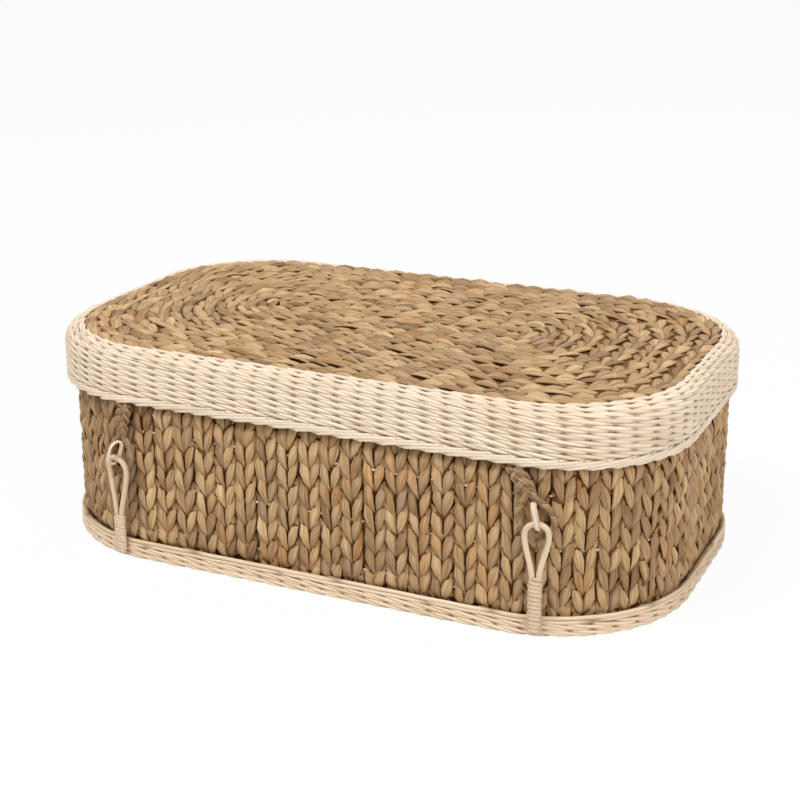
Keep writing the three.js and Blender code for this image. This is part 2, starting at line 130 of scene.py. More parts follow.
class Finish:
    def __init__(self, name):
        self.material = bpy.data.materials.new(name)
        self.material.use_nodes = True
        self.tree = self.material.node_tree
        self.shader = self.tree.nodes["Principled BSDF"]

    # values go to the first sockets in turn, sockets names or numbers others
    def node(self, kind, settings=None, *values, outlet=0, sockets=None):
        made = self.tree.nodes.new(kind)
        for key, setting in (settings or {}).items():
            if key == "stops":
                self.setStops(made.color_ramp, setting)
            else:
                setattr(made, key, setting)
        for inlet, value in [*enumerate(values), *(sockets or {}).items()]:
            self.plug(made.inputs[inlet], value)
        return Value(self, made.outputs[outlet])

    def plug(self, inlet, value):
        if isinstance(value, Value):
            self.tree.links.new(value.socket, inlet)
        else:
            inlet.default_value = value

    def setStops(self, ramp, stops):
        while len(ramp.elements) < len(stops):
            ramp.elements.new(1)
        for element, (place, colour) in zip(ramp.elements, stops):
            element.position = place
            element.color = (*colour, 1)

    def ramp(self, value, stops):
        return self.node("ShaderNodeValToRGB", {"stops": stops}, value)

    def smooth(self, value, low, high, first=0, last=1):
        settings = {"interpolation_type": "SMOOTHSTEP"}
        return self.node("ShaderNodeMapRange", settings, value, low, high, first, last)

    def blend(self, kind, share, first, second):
        settings = {"data_type": "RGBA", "blend_type": kind, "clamp_result": True}
        sockets = {0: share, 6: first, 7: second}
        return self.node("ShaderNodeMix", settings, outlet=2, sockets=sockets)

    def noise(self, place, scale, detail=3, roughness=0.6):
        sockets = {"Vector": place, "Scale": scale, "Detail": detail, "Roughness": roughness}
        return self.node("ShaderNodeTexNoise", sockets=sockets)

    def map(self, name):
        both = self.node("ShaderNodeUVMap", {"uv_map": name})
        return self.part(both, 0), self.part(both, 1)

    def part(self, vector, index):
        return self.node("ShaderNodeSeparateXYZ", None, vector, outlet=index)

    def vector(self, x, y, z):
        return self.node("ShaderNodeCombineXYZ", None, x, y, z)

    def apply(self, relief=None, depth=0.0005, strength=1.0, **looks):
        for name, value in looks.items():
            self.plug(self.shader.inputs[name], value)
        if relief is not None:
            sockets = {"Height": relief, "Distance": depth, "Strength": strength}
            self.plug(self.shader.inputs["Normal"], self.node("ShaderNodeBump", sockets=sockets))
        return self.material


def rgb(text):
    values = [int(text[i : i + 2], 16) / 255 for i in (0, 2, 4)]
    return tuple(v / 12.92 if v <= 0.04045 else ((v + 0.055) / 1.055) ** 2.4 for v in values)


# Dried water hyacinth: flat leaf stalks, folded lengthwise, each of its own tan or brown, with painted
# shade at their edges and ends
def hyacinthFinish(name, tans, lift=1.0, rim=0.3, creaseShade=0.2, tipShade=0.55):
    finish = Finish(name)
    across, along = finish.map("fibre")
    chance, other = finish.map("chance")
    base = finish.ramp(chance, [(place, rgb(tan)) for place, tan in tans])
    warm = finish.blend("MIX", finish.smooth(other, 0.86, 1, 0, 0.5), base, (*rgb("b98552"), 1))
    grey = finish.blend("MIX", finish.smooth(other, 0.16, 0, 0, 0.5), warm, (*rgb("8f7762"), 1))
    # folds run along the stalk and shift from one to the next
    foldPlace = finish.vector(across * 5 + other * 7, along * 0.7 + chance * 31, other * 40)
    folds = finish.noise(foldPlace, 1.6, 3, 0.62)
    finePlace = finish.vector(across * 26 + chance * 9, along * 1.4 + other * 17, chance * 23)
    fine = finish.noise(finePlace, 1.4, 2, 0.6)
    shade = finish.smooth(folds, 0.3, 0.62, 0.7 * lift, 1.08 * lift)
    shade = shade * finish.smooth(fine, 0.25, 0.75, 0.86, 1.08)
    # painted shade: darker towards each leaf's ends, where it dives under its neighbours, and towards
    # its edges, in the creases between leaves
    ends = finish.smooth(abs(along - 0.5), 0.28, 0.5, 1, tipShade)
    rimShade = finish.smooth(abs(across - 0.5), rim, 0.5, 1, creaseShade)
    tone = shade * ends * rimShade
    # the painted shade turns warmer as it deepens
    colour = finish.blend("MULTIPLY", 1, grey, finish.vector(tone, tone**1.4, tone**2.1))
    relief = folds * 0.75 + fine * 0.25
    rough = finish.smooth(fine, 0.2, 0.8, 0.72, 0.56)
    looks = {"Base Color": colour, "Roughness": rough, "Specular IOR Level": 0.25}
    return finish.apply(relief, 0.0013, 0.9, **looks)


# Peeled round cane: pale cream with a silky lengthwise grain, with painted shade along its edges and at
# its ends
def caneFinish(name, creams, darkest=0.86, grooveShade=0.8, sunk=1.0):
    finish = Finish(name)
    across, along = finish.map("fibre")
    chance, other = finish.map("chance")
    base = finish.ramp(chance, [(place, rgb(cream)) for place, cream in creams])
    pink = finish.blend("MIX", finish.smooth(other, 0.8, 1, 0, 0.3), base, (*rgb("efd2b8"), 1))
    grainPlace = finish.vector(across * 14 + other * 11, along * 0.9 + chance * 19, other * 23)
    grain = finish.noise(grainPlace, 1.5, 3, 0.65)
    # painted shade: darker along each cane's edges, in the grooves between neighbours, and towards its
    # ends, where it dips into the holes of the weave
    rimShade = finish.smooth(abs(across - 0.5), 0.36, 0.5, 1, grooveShade)
    ends = finish.smooth(abs(along - 0.5), 0.27, 0.39, 1, sunk)
    tone = finish.smooth(grain, 0.22, 0.6, darkest, 1.0) * rimShade * ends
    colour = finish.blend("MULTIPLY", 1, pink, finish.vector(tone, tone**1.15, tone**1.45))
    rough = finish.smooth(grain, 0.3, 0.7, 0.76, 0.6)
    return finish.apply(grain, 0.0004, 0.6, **{"Base Color": colour, "Roughness": rough})


# painted shade: a patchy dark brown for parts that stand for the shade in gaps and holes
def shadowFinish(name, colour):
    finish = Finish(name)
    place = finish.node("ShaderNodeTexCoord", outlet=3)
    patches = finish.noise(place, 90, 3, 0.6)
    tone = finish.smooth(patches, 0.3, 0.7, 0.7, 1.2)
    brown = finish.blend("MULTIPLY", 1, (*rgb(colour), 1), finish.vector(tone, tone, tone))
    looks = {"Base Color": brown, "Roughness": 0.9, "Specular IOR Level": 0.1}
    return finish.apply(patches, 0.0006, 0.6, **looks)


# Each kind's tones, from the darkest of its leaves or canes to the palest
stalkTans = [
    (0.0, "86684b"),
    (0.15, "997956"),
    (0.35, "ab8a65"),
    (0.6, "b99870"),
    (0.84, "c6a57b"),
    (1.0, "d3b386"),
]
lidTans = [
    (0.0, "886b50"),
    (0.15, "9c7d5c"),
    (0.35, "af906c"),
    (0.6, "be9f79"),
    (0.84, "cbac85"),
    (1.0, "d8bb91"),
]
# painted shade: darker tans for the wall's sunk core layer, standing for the shade between the outer
# leaves
shadedTans = [(0.0, "5f4222"), (1.0, "8a6436")]
twineTans = [(0.0, "957858"), (0.4, "aa8c6a"), (0.8, "bb9d79"), (1.0, "cbac88")]
caneCreams = [(0.0, "dac4a9"), (0.15, "e2ceb5"), (0.6, "e7d4bd"), (1.0, "ead8c2")]
footCreams = [(0.0, "d5ba98"), (0.15, "dfc6a6"), (0.6, "e5ceb1"), (1.0, "ead4b8")]
bindingCreams = [(0.0, "cfa878"), (0.4, "d9b78a"), (0.8, "e3c598"), (1.0, "dcb88c")]
loopCreams = [(0.0, "d4b793"), (0.5, "dac09f"), (1.0, "dfc8a9")]
whippingCreams = [(0.0, "d4b89a"), (0.5, "dbc1a5"), (1.0, "e0c8ad")]

stalk = hyacinthFinish("water_hyacinth", stalkTans)
lidStalk = hyacinthFinish("lid_hyacinth", lidTans, lift=0.97, rim=0.4, creaseShade=0.3)
# painted shade: the sunk core layer is darkened further, as the shade deep in the plait
shadedStalk = hyacinthFinish("hyacinth_painted_shade", shadedTans, lift=0.8)
paleCane = caneFinish("pale_cane", caneCreams)
waledCane = caneFinish("waled_cane", caneCreams, darkest=0.92, grooveShade=0.86, sunk=0.8)
footCane = caneFinish("foot_cane", footCreams, darkest=0.86, grooveShade=0.76, sunk=0.5)
bindingCane = caneFinish("binding_cane", bindingCreams, darkest=0.8)
loopCane = caneFinish("loop_cane", loopCreams, darkest=0.9)
whippingCane = caneFinish("whipping_cane", whippingCreams, darkest=0.95, grooveShade=1.0)
twine = hyacinthFinish("plaited_twine", twineTans, lift=1.02, rim=0.36, creaseShade=0.24, tipShade=0.9)
# painted shade: dark browns for the ring and sheets that show through the plaits' gaps as shade
plaitShade = shadowFinish("plait_painted_shade", "4f2f12")
lidPlaitShade = shadowFinish("lid_plait_painted_shade", "7a5632")
stakeShadow = shadowFinish("stake_shadow", "b89f7c")
print("finishes made")


# Which way a corner faces and leads on, the share of it turned, and the signs of its place
def cornerWays(corner, turned):
    angle = (corner - 1 + turned) * math.pi / 2
    outward = np.stack([np.cos(angle), np.sin(angle)], -1)
    onward = np.stack([-np.sin(angle), np.cos(angle)], -1)
    signX = np.where(corner < 2, 1, -1)
    signY = np.where((corner == 1) | (corner == 2), 1, -1)
    return outward, onward, signX, signY


# Outlines are rounded rectangles, walked counterclockwise from the front right corner's start
class Outline:
    def __init__(self, length, depth, radius):
        self.length = length
        self.depth = depth
        self.radius = radius
        self.arc = radius * math.pi / 2
        self.sides = np.array([depth, length, depth, length]) - 2 * radius
        self.girth = float(self.sides.sum() + 4 * self.arc)

    # the corner walked round last, the share of it, and the share of the side after it
    def station(self, travelled):
        travelled = np.mod(travelled, self.girth)
        starts = np.concatenate([[0], np.cumsum(self.sides + self.arc)[:-1]])
        corner = np.searchsorted(starts, travelled, side="right") - 1
        past = travelled - starts[corner]
        turned = np.clip(past / self.arc, 0, 1)
        beyond = np.clip(past - self.arc, 0, None) / self.sides[corner]
        return corner, turned, beyond

    def place(self, corner, turned, beyond, out=0):
        outward, onward, signX, signY = cornerWays(corner, turned)
        middleX = signX * (self.length / 2 - self.radius)
        middleY = signY * (self.depth / 2 - self.radius)
        reach = (self.radius + out) * np.ones_like(turned)
        walked = beyond * self.sides[corner]
        middle = np.stack([middleX, middleY], -1)
        return middle + outward * reach[..., None] + onward * walked[..., None]


wallLine = Outline(wall["length"], wall["depth"], wall["cornerRadius"])
lidLine = Outline(lid["length"], lid["depth"], lid["cornerRadius"])
panelLine = Outline(panel["length"], panel["depth"], panel["cornerRadius"])


def joined(flat, height):
    return np.concatenate([flat, (height * np.ones(flat.shape[:-1]))[..., None]], -1) * mm


# The wall's face lies so far out of its outline at each height
wallFace = {"height": [0, 15, 17.3, 117.7, 122.1, 200], "out": [-1.6, -1.6, 0.3, 0, -4.5, -4.5]}


# On the wall: so far round it, so high, and so far out of its face
def onWall(travelled, height, out):
    face = np.interp(height, wallFace["height"], wallFace["out"])
    return joined(wallLine.place(*wallLine.station(travelled), face + out), height)


# On the upright outside of the wall's footprint, for the trim
def onFoot(travelled, height, out):
    return joined(wallLine.place(*wallLine.station(travelled), out), height)


# Inside the lid's outline by an inset, whose corners tighten towards the panel's
def inLid(travelled, inset, height):
    station = lidLine.station(travelled)
    outside = lidLine.place(*station)
    inside = panelLine.place(*station)
    share = (inset / edge["width"])[..., None]
    return joined(outside + (inside - outside) * share, height)


# Up the skirt and over its shoulder: so far up that path, and so far out of it
def onSkirt(travelled, rise, out):
    upright = edge["foot"] - edge["bandBottom"]
    rounding = math.pi / 4 * (edge["width"] + edge["rise"])
    angle = np.clip((rise - upright) / rounding, 0, 1.1) * math.pi / 2
    width = edge["width"] - edge["recess"]
    inset = edge["recess"] + width * (1 - np.cos(angle)) - out * np.cos(angle)
    low = edge["bandBottom"] + np.minimum(rise, upright)
    height = low + edge["rise"] * np.sin(angle) + out * np.sin(angle)
    return inLid(travelled, inset, height)


# Making meshes
def deselectAll():
    if bpy.context.object and bpy.context.object.mode != "OBJECT":
        bpy.ops.object.mode_set(mode="OBJECT")
    bpy.ops.object.select_all(action="DESELECT")


def pick(form, test):
    bpy.ops.object.mode_set(mode="EDIT")
    bpy.ops.mesh.select_mode(type="VERT")
    bpy.ops.mesh.select_all(action="DESELECT")
    bpy.ops.object.mode_set(mode="OBJECT")
    for vertex in form.data.vertices:
        vertex.select = bool(test(vertex.co))
    bpy.ops.object.mode_set(mode="EDIT")


def fromLowest(corners):
    first = corners.index(min(corners))
    return corners[first:] + corners[:first]


# Takes a modelled form as numbers, its faces in a fixed order, and removes its object
def takeForm(form):
    bpy.ops.object.mode_set(mode="OBJECT")
    data = form.data
    points = np.array([vertex.co for vertex in data.vertices], float)
    faces = sorted(fromLowest(tuple(polygon.vertices)) for polygon in data.polygons)
    bpy.data.objects.remove(form)
    bpy.data.meshes.remove(data)
    return {"points": points, "faces": faces}


# A folded stalk between its two dives into the plait, 2 long, 2 wide, and 1 high in front
leafGirths = [0.1, 0.36, 0.72, 1.0, 0.78, 0.42, 0.12]
plainGirths = [0.3, 0.85, 1.0, 0.8, 0.3]


def modelLeaf(segments, rings, girths):
    deselectAll()
    bpy.ops.mesh.primitive_uv_sphere_add(segments=segments, ring_count=rings, radius=1)
    form = bpy.context.object
    for i, girth in enumerate(girths):
        slope = math.pi * (i + 1) / rings
        level = -math.cos(slope)
        pick(form, lambda place: abs(place.z - level) < 0.02)
        thinner = girth / math.sin(slope)
        bpy.ops.transform.resize(value=(thinner, thinner**0.7, 1), center_override=(0, 0, 0))
    pick(form, lambda place: place.y < -0.02)
    bpy.ops.transform.resize(value=(0.86, 0.4, 1), center_override=(0, 0, 0))
    return takeForm(form)


# A cane from z 0 to 1 with closed, narrowed ends
def modelCane(sides, cuts, endShare=0.55):
    deselectAll()
    bpy.ops.mesh.primitive_cylinder_add(vertices=sides, radius=1, depth=1, location=(0, 0, 0.5))
    form = bpy.context.object
    bpy.ops.object.transform_apply(location=True)
    bpy.ops.object.mode_set(mode="EDIT")
    bpy.ops.mesh.select_mode(type="EDGE")
    bpy.ops.mesh.select_all(action="DESELECT")
    bpy.ops.object.mode_set(mode="OBJECT")
    for line in form.data.edges:
        first, last = (form.data.vertices[i].co.z for i in line.vertices)
        line.select = abs(first - last) > 0.5
    bpy.ops.object.mode_set(mode="EDIT")
    bpy.ops.mesh.subdivide(number_cuts=cuts)
    pick(form, lambda place: place.z < 0.001 or place.z > 0.999)
    bpy.ops.transform.resize(value=(endShare, endShare, 1), center_override=(0, 0, 0.5))
    return takeForm(form)


def newPiece(name, points, faces, material):
    mesh = bpy.data.meshes.new(name)
    mesh.from_pydata(points.reshape(-1, 3).tolist(), [], faces)
    mesh.materials.append(material)
    made = bpy.data.objects.new(name, mesh)
    bpy.context.scene.collection.objects.link(made)
    return made


# Many copies of one form as one mesh. places has a row of points for each copy, home the body
# that it rides on, its slot and the solid that it stands for.
def addCopies(name, form, places, material, rng, home, chances=None):
    copies, points = places.shape[:2]
    faces = [np.array(face) for face in form["faces"]]
    if signedVolume(places[0], faces) < 0:
        faces = [face[::-1] for face in faces]
    everyFace = []
    for copy in range(copies):
        everyFace.extend((face + copy * points).tolist() for face in faces)
    made = newPiece(name, places, everyFace, material)
    local = form["points"]
    along = (local[:, 2] - local[:, 2].min()) / np.ptp(local[:, 2])
    across = np.arctan2(np.abs(local[:, 1]), local[:, 0]) / math.pi
    if chances is None:
        chances = rng.random((copies, 2))
    spread = np.repeat(chances, points, axis=0)
    setMap(made.data, "fibre", np.tile(across, copies), np.tile(along, copies))
    setMap(made.data, "chance", spread[:, 0], spread[:, 1])
    made.data.polygons.foreach_set("use_smooth", [True] * len(made.data.polygons))
    made.data.update()
    return settle(made, *home)


def setMap(mesh, name, u, v):
    corner = np.empty(len(mesh.loops), np.int64)
    mesh.loops.foreach_get("vertex_index", corner)
    layer = mesh.uv_layers.new(name=name)
    layer.data.foreach_set("uv", np.stack([u[corner], v[corner]], -1).ravel())


def signedVolume(points, faces):
    middle = points.mean(0)
    total = 0
    for face in faces:
        first = points[face[0]] - middle
        for i in range(1, len(face) - 1):
            second = points[face[i]] - middle
            third = points[face[i + 1]] - middle
            total += np.dot(first, np.cross(second, third))
    return total


def bandFaces(near, far, count):
    return [(near + i, near + (i + 1) % count, far + (i + 1) % count, far + i) for i in range(count)]


# A solid ring: one profile of (out, height) swept round an outline, as a plain closed band
def addRing(name, outline, profile, material, home):
    steps = 200
    station = outline.station(np.arange(steps) / steps * outline.girth)
    rows = [joined(outline.place(*station, out), height) for out, height in profile]
    around = len(profile)
    faces = []
    for i in range(steps):
        faces += bandFaces(i * around, (i + 1) % steps * around, around)
    made = newPiece(name, np.stack(rows, 1), faces, material)
    turnFacesOut(made)
    return settle(made, *home)


def turnFacesOut(made):
    deselectAll()
    made.select_set(True)
    bpy.context.view_layer.objects.active = made
    bpy.ops.object.mode_set(mode="EDIT")
    bpy.ops.mesh.select_all(action="SELECT")
    bpy.ops.mesh.normals_make_consistent(inside=False)
    bpy.ops.object.mode_set(mode="OBJECT")


def settle(piece, body, slotName, *nodes):
    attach(piece, body)
    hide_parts(*nodes)
    return piece


# 0 to 1 with a soft start and end
def smoothShare(value):
    share = np.clip(value, 0, 1)
    return share * share * (3 - 2 * share)


# Plaiting
plait = {
    "reach": 29.5,  # length of a leaf from tip to hidden top
    "pitch": 15.8,  # from one V to the next
    "crown": 2.7,  # height of a leaf over its own edges
    "tipDrop": 1.5,
    "topDrop": 4.2,
    "overlap": 0.15,  # a leaf reaches this far over the middle and the border of its plait
    "loose": 1.0,
}

fullLeaf = modelLeaf(8, 8, leafGirths)
plainLeaf = modelLeaf(6, 6, plainGirths)


# A form's points in rows: across it, through it and along it
def formRows(form):
    return (form["points"][:, k][None, :] for k in range(3))


# In a plait's own sizes: so far along it, so far across from its middle, and so high
def layLeaves(form, starts, sides, lengths, halfPlait, rng, size=plait):
    wide, thick, level = formRows(form)
    share = (level + 1) / 2
    count = len(starts)
    loose = lambda amount: rng.normal(0, amount * size["loose"], (count, 1))
    half = halfPlait / 2 + size["overlap"]
    girth = np.interp(share, [0, 0.04, 0.15, 0.31, 0.5, 0.69, 0.85, 0.96, 1], [0, *leafGirths, 0])
    swing = 2 * smoothShare((share - 0.3) / 0.4) - 1
    middle = halfPlait / 2 + (half - half * girth) * swing
    width = half * (1 + loose(0.05))
    across = sides[:, None] * (middle + loose(0.35)) + wide * width
    along = starts[:, None] + share * lengths[:, None] + loose(0.7)
    dive = size["tipDrop"] * (1 - smoothShare(share / 0.36))
    dive = dive + size["topDrop"] * smoothShare((share - 0.46) / 0.54)
    crown = size["crown"] * (1 + loose(0.1))
    lean = loose(0.1) * wide * half
    up = (thick - 1) * crown - dive + lean + loose(0.22)
    return along, across, up


# A smooth line through given points
def smoothPath(corners, steps=16):
    corners = np.array(corners, float)
    ends = np.concatenate([[2 * corners[0] - corners[1]], corners, [2 * corners[-1] - corners[-2]]])
    knots = np.concatenate([[0], np.cumsum(np.linalg.norm(np.diff(ends, axis=0), axis=1) ** 0.5)])
    blend = lambda a, b, low, high, at: (a * (high - at) + b * (at - low)) / (high - low)
    rows = []
    for i in range(1, len(ends) - 2):
        at = np.linspace(knots[i], knots[i + 1], steps, endpoint=False)[:, None]
        near = [blend(ends[k], ends[k + 1], knots[k], knots[k + 1], at) for k in (i - 1, i, i + 1)]
        wide = [blend(near[k], near[k + 1], knots[i - 1 + k], knots[i + 1 + k], at) for k in (0, 1)]
        rows.append(blend(wide[0], wide[1], knots[i], knots[i + 1], at))
    return np.concatenate([*rows, corners[-1:]])


def unit(rows):
    return rows / np.linalg.norm(rows, axis=1, keepdims=True)


# How far each point of a path lies along it
def walkedTo(path):
    return np.concatenate([[0], np.cumsum(np.linalg.norm(np.diff(path, axis=0), axis=1))])


def sampled(at, walked, rows):
    return np.stack([np.interp(at, walked, rows[:, k]) for k in range(rows.shape[1])], -1)


# Lays a form along a path; facing has the direction in which its thickness is measured
def layAlong(form, path, halfWidth, halfThickness, facing):
    local = form["points"]
    walked = walkedTo(path)
    at = local[:, 2] * walked[-1]
    forward = unit(sampled(at, walked, np.gradient(path, walked, axis=0)))
    facing = sampled(at, walked, np.broadcast_to(facing, path.shape))
    normal = unit(facing - forward * np.sum(facing * forward, axis=1, keepdims=True))
    aside = np.cross(forward, normal) * local[:, :1] * halfWidth
    return sampled(at, walked, path) + aside + normal * local[:, 1:2] * halfThickness


ringCane = modelCane(10, 220, 0.9)
footStrand = modelCane(7, 26)
footStalk = modelCane(8, 9, 0.6)
waleCane = modelCane(7, 11)
plainCane = modelCane(5, 5)
borderCane = modelCane(8, 12)
longCane = modelCane(12, 90)
strip = modelCane(6, 420)
shortStrip = modelCane(6, 110)
cord = modelCane(7, 110)
hair = modelCane(3, 6, 0.3)
print("forms modelled")


# Where a cane passes that is bent right round an outline, its ends butted
def wayRound(outline):
    return (0.06 + np.linspace(0, 1, 700) * 0.9985) * outline.girth


def bendRound(path, radius):
    path = path / mm
    return layAlong(ringCane, path, radius, radius, path * [1, 1, 0]) * mm


# Wall
wallWeave = {
    "foot": 2.6,
    "hidden": 11,  # the foot's trim hides what is lower
    "top": 143.4,
    "rows": 12,
    "shortest": 9,
    "wander": 0.24,  # of a pitch, from one plait to the next
    "sway": 0.6,
    "swayLength": 34,
    "phase": 0.5,
    "seed": 11,
    "swaySeed": 3,
}
wallHome = ("basket", "hyacinth", "wall_weave")


def wallLeaves(form, rng, inside, shift=0.0, sunk=0.0):
    pitch = plait["pitch"]
    spacing = wallLine.girth / wall["columns"]
    drift = np.cumsum(rng.normal(0, wallWeave["wander"], wall["columns"]))
    starts, sides, lengths, columns = [], [], [], []
    for column in range(wall["columns"]):
        first = wallWeave["foot"] + (drift[column] % 1 - 1) * pitch
        own = pitch * rng.uniform(0.95, 1.05)
        for row in range(wallWeave["rows"]):
            for side in (-1, 1):
                low = first + (row + shift) * own + side * 0.6
                high = min(low + plait["reach"] * rng.uniform(0.94, 1.06), wallWeave["top"])
                if high - max(low, wallWeave["hidden"]) < wallWeave["shortest"]:
                    continue
                starts.append(low)
                sides.append(side)
                lengths.append(high - low)
                columns.append(column)
    starts, sides, lengths, columns = map(np.array, (starts, sides, lengths, columns))
    along, across, up = layLeaves(form, starts, sides, lengths, spacing / 2, rng)
    turns = np.random.default_rng(wallWeave["swaySeed"]).random(wall["columns"])
    swayPhase = turns[columns][:, None] * 2 * math.pi
    sway = wallWeave["sway"] * np.sin(along / wallWeave["swayLength"] + swayPhase)
    travelled = (columns[:, None] + wallWeave["phase"]) * spacing + across + sway
    along = np.clip(along, wallWeave["foot"], wallWeave["top"])
    out = -wall["thickness"] - up if inside else up - sunk
    return onWall(travelled, along, out)


# At the foot the stalks of each plait run straight down behind its last leaves and the trim
footStalks = {
    "toPlait": 4,
    "halfWidth": 3.2,
    "halfThickness": 1.5,
    "length": 26,
    "out": -3.0,
    "lean": 2.4,
    "seed": 12,
}


def layFootStalks(form, size, rng):
    wide, thick, share = formRows(form)
    spacing = wallLine.girth / wall["columns"]
    column, strand = allPairs(np.arange(wall["columns"]), np.arange(size["toPlait"]))
    loose = lambda amount: rng.normal(0, amount, column.shape)
    fan = (strand - 1.5) * spacing / 4.05 * (1 - 0.2 * share)
    middle = (column + wallWeave["phase"]) * spacing + fan + loose(0.4) + loose(0.5) * share
    travelled = middle + wide * size["halfWidth"] * (1 + loose(0.1))
    height = wallWeave["foot"] + share * (size["length"] + loose(3))
    out = size["out"] + thick * size["halfThickness"] + loose(0.25)
    return onWall(travelled, height, out - size["lean"] * share**2)


# Copies of stalks, most of them of a middle tan
def addStalks(name, form, places, material, rng, home):
    count = len(places)
    tans = np.stack([rng.beta(2.6, 2.0, count), rng.random(count)], -1)
    addCopies(name, form, places, material, rng, home, tans)


rods = {"heights": (24, 61, 101), "out": -4.32, "radius": 1.2}
# painted shade: a dark ring inside the wall's plait, which shows through its gaps as shade
wallShadeCore = [
    (-5.3, 2.8),
    (-3.6, 2.8),
    (-3.6, 116),
    (-7.6, 122.5),
    (-7.6, 143),
    (-9.8, 143),
    (-9.8, 122.5),
    (-5.3, 116),
]


def addWall():
    for name, form, material, inside, shift, sunk in (
        ("wall_plaits", fullLeaf, stalk, False, 0.0, 0.0),
        ("wall_plaits_core", plainLeaf, shadedStalk, False, 0.5, 2.5),
        ("wall_plaits_inside", plainLeaf, stalk, True, 0.0, 0.0),
    ):
        rng = np.random.default_rng(wallWeave["seed"])
        places = wallLeaves(form, rng, inside, shift, sunk)
        addStalks(name, form, places, material, rng, wallHome)
    rng = np.random.default_rng(footStalks["seed"])
    places = layFootStalks(footStalk, footStalks, rng)
    addStalks("wall_foot_stalks", footStalk, places, stalk, rng, wallHome)
    flat = wallLine.place(*wallLine.station(wayRound(wallLine)), rods["out"])
    bent = [bendRound(joined(flat, height), rods["radius"]) for height in rods["heights"]]
    addCopies("wall_rods", ringCane, np.stack(bent), paleCane, rng, ("basket", "cane", "wall_weave"))
    addRing("wall_shade_core", wallLine, wallShadeCore, plaitShade, wallHome)


# Waling: every cane passes in front of two stakes and behind one
wale = {
    "stakes": 87,
    "rows": 9,
    "rowHeight": 42.86 / 9,
    "halfWidth": 1.42,
    "halfThickness": 1.15,
    "front": -1.15,
    "back": -4.0,
    "drift": 0.0,
    "seed": 5,
}
skirtStakes = {"low": 0.4, "length": 42, "halfWidth": 2.4, "halfThickness": 1.2, "out": -3.5}
skirtHome = ("lid", "cane", "lid_band")


def allPairs(first, second):
    return (grid.ravel()[:, None] for grid in np.meshgrid(first, second, indexing="ij"))


# Strokes in stakes along a row, in millimetres up from the row's middle, and out
def strokeLine(share, span, lowLane, highLane, outside, deepest, tuck=0.2, ease=0.32, hole=0.15):
    share = share - 0.08 * np.sin(2 * math.pi * share)
    at = -tuck + share * (span + 2 * tuck)
    lane = lowLane + (highLane - lowLane) * np.clip(at / span, -0.05, 1.05)
    emerged = smoothShare((at + ease - hole) / (2 * ease))
    outwards = emerged * smoothShare((span + ease - hole - at) / (2 * ease))
    return at, lane, deepest + (outside - deepest) * outwards


def waleStrokes(form, size, rng, inside=False):
    wide, thick, share = formRows(form)
    row, stake = allPairs(np.arange(size["rows"]), np.arange(size["stakes"]))
    loose = lambda amount: rng.normal(0, amount, row.shape)
    quarter = size["rowHeight"] * 0.48
    if inside:
        at, lane, out = strokeLine(share, 1, -quarter, quarter, size["back"], size["back"] + 1.1)
        at = at + 2
    else:
        at, lane, out = strokeLine(share, 2, quarter, -quarter, size["front"], size["back"])
    width = wide * size["halfWidth"] * (1 + loose(0.05))
    height = (row + 0.5) * size["rowHeight"] + lane + width
    out = out + thick * size["halfThickness"] + loose(0.1)
    travelled = stake + at - row * size["drift"] + loose(0.03)
    return travelled, height + loose(0.1), out


def addSkirt():
    rng = np.random.default_rng(wale["seed"])
    spacing = lidLine.girth / wale["stakes"]
    for name, form, inside in (
        ("skirt_waling", waleCane, False),
        ("skirt_waling_inside", plainCane, True),
    ):
        travelled, rise, out = waleStrokes(form, wale, rng, inside)
        places = onSkirt(travelled * spacing, np.clip(rise, 0.2, 43.4), out)
        addCopies(name, form, places, waledCane, rng, skirtHome)
    wide, thick, share = formRows(plainCane)
    travelled = np.arange(wale["stakes"])[:, None] * spacing + wide * skirtStakes["halfWidth"]
    rise = skirtStakes["low"] + share * skirtStakes["length"]
    out = skirtStakes["out"] + thick * skirtStakes["halfThickness"]
    # painted shade: the stakes behind the waling are coloured as the shade in its holes
    addCopies("skirt_stakes", plainCane, onSkirt(travelled, rise, out), stakeShadow, rng, skirtHome)


# The rolled border along the skirt: one cane starts at each stake and rises to the right
lidBorder = {"height": 6.9, "halfWidth": 1.35, "halfThickness": 1.25, "span": 2.9, "seed": 7}


def borderStrokes(form, size, front, deepest, rng):
    wide, thick, share = formRows(form)
    stake = np.arange(wale["stakes"])[:, None]
    loose = lambda amount: rng.normal(0, amount, stake.shape)
    low = size["halfWidth"]
    high = size["height"] - 0.6
    at, lane, out = strokeLine(share, size["span"], low, high, front, deepest, 0.35, 0.34, 0)
    bump = -0.5 * np.exp(-(((at - 0.32) / 0.3) ** 2))
    height = lane + bump + wide * size["halfWidth"] * (1 + loose(0.05))
    out = out + thick * size["halfThickness"] + loose(0.1)
    return stake + at + loose(0.03), height + loose(0.12), out


def addLidBorder():
    rng = np.random.default_rng(lidBorder["seed"])
    spacing = lidLine.girth / wale["stakes"]
    for name, front, back, turn in (
        ("skirt_border", 1.3, 5.1, 1),
        ("skirt_border_inside", 5.1, 1.3, -1),
    ):
        travelled, height, inset = borderStrokes(borderCane, lidBorder, front, back, rng)
        height = np.maximum(height, 0.05) + lid["skirtBottom"]
        places = inLid(turn * travelled * spacing, np.clip(inset, 0.05, 6.4), height)
        addCopies(name, borderCane, places, paleCane, rng, ("lid", "cane", "lid_border"))


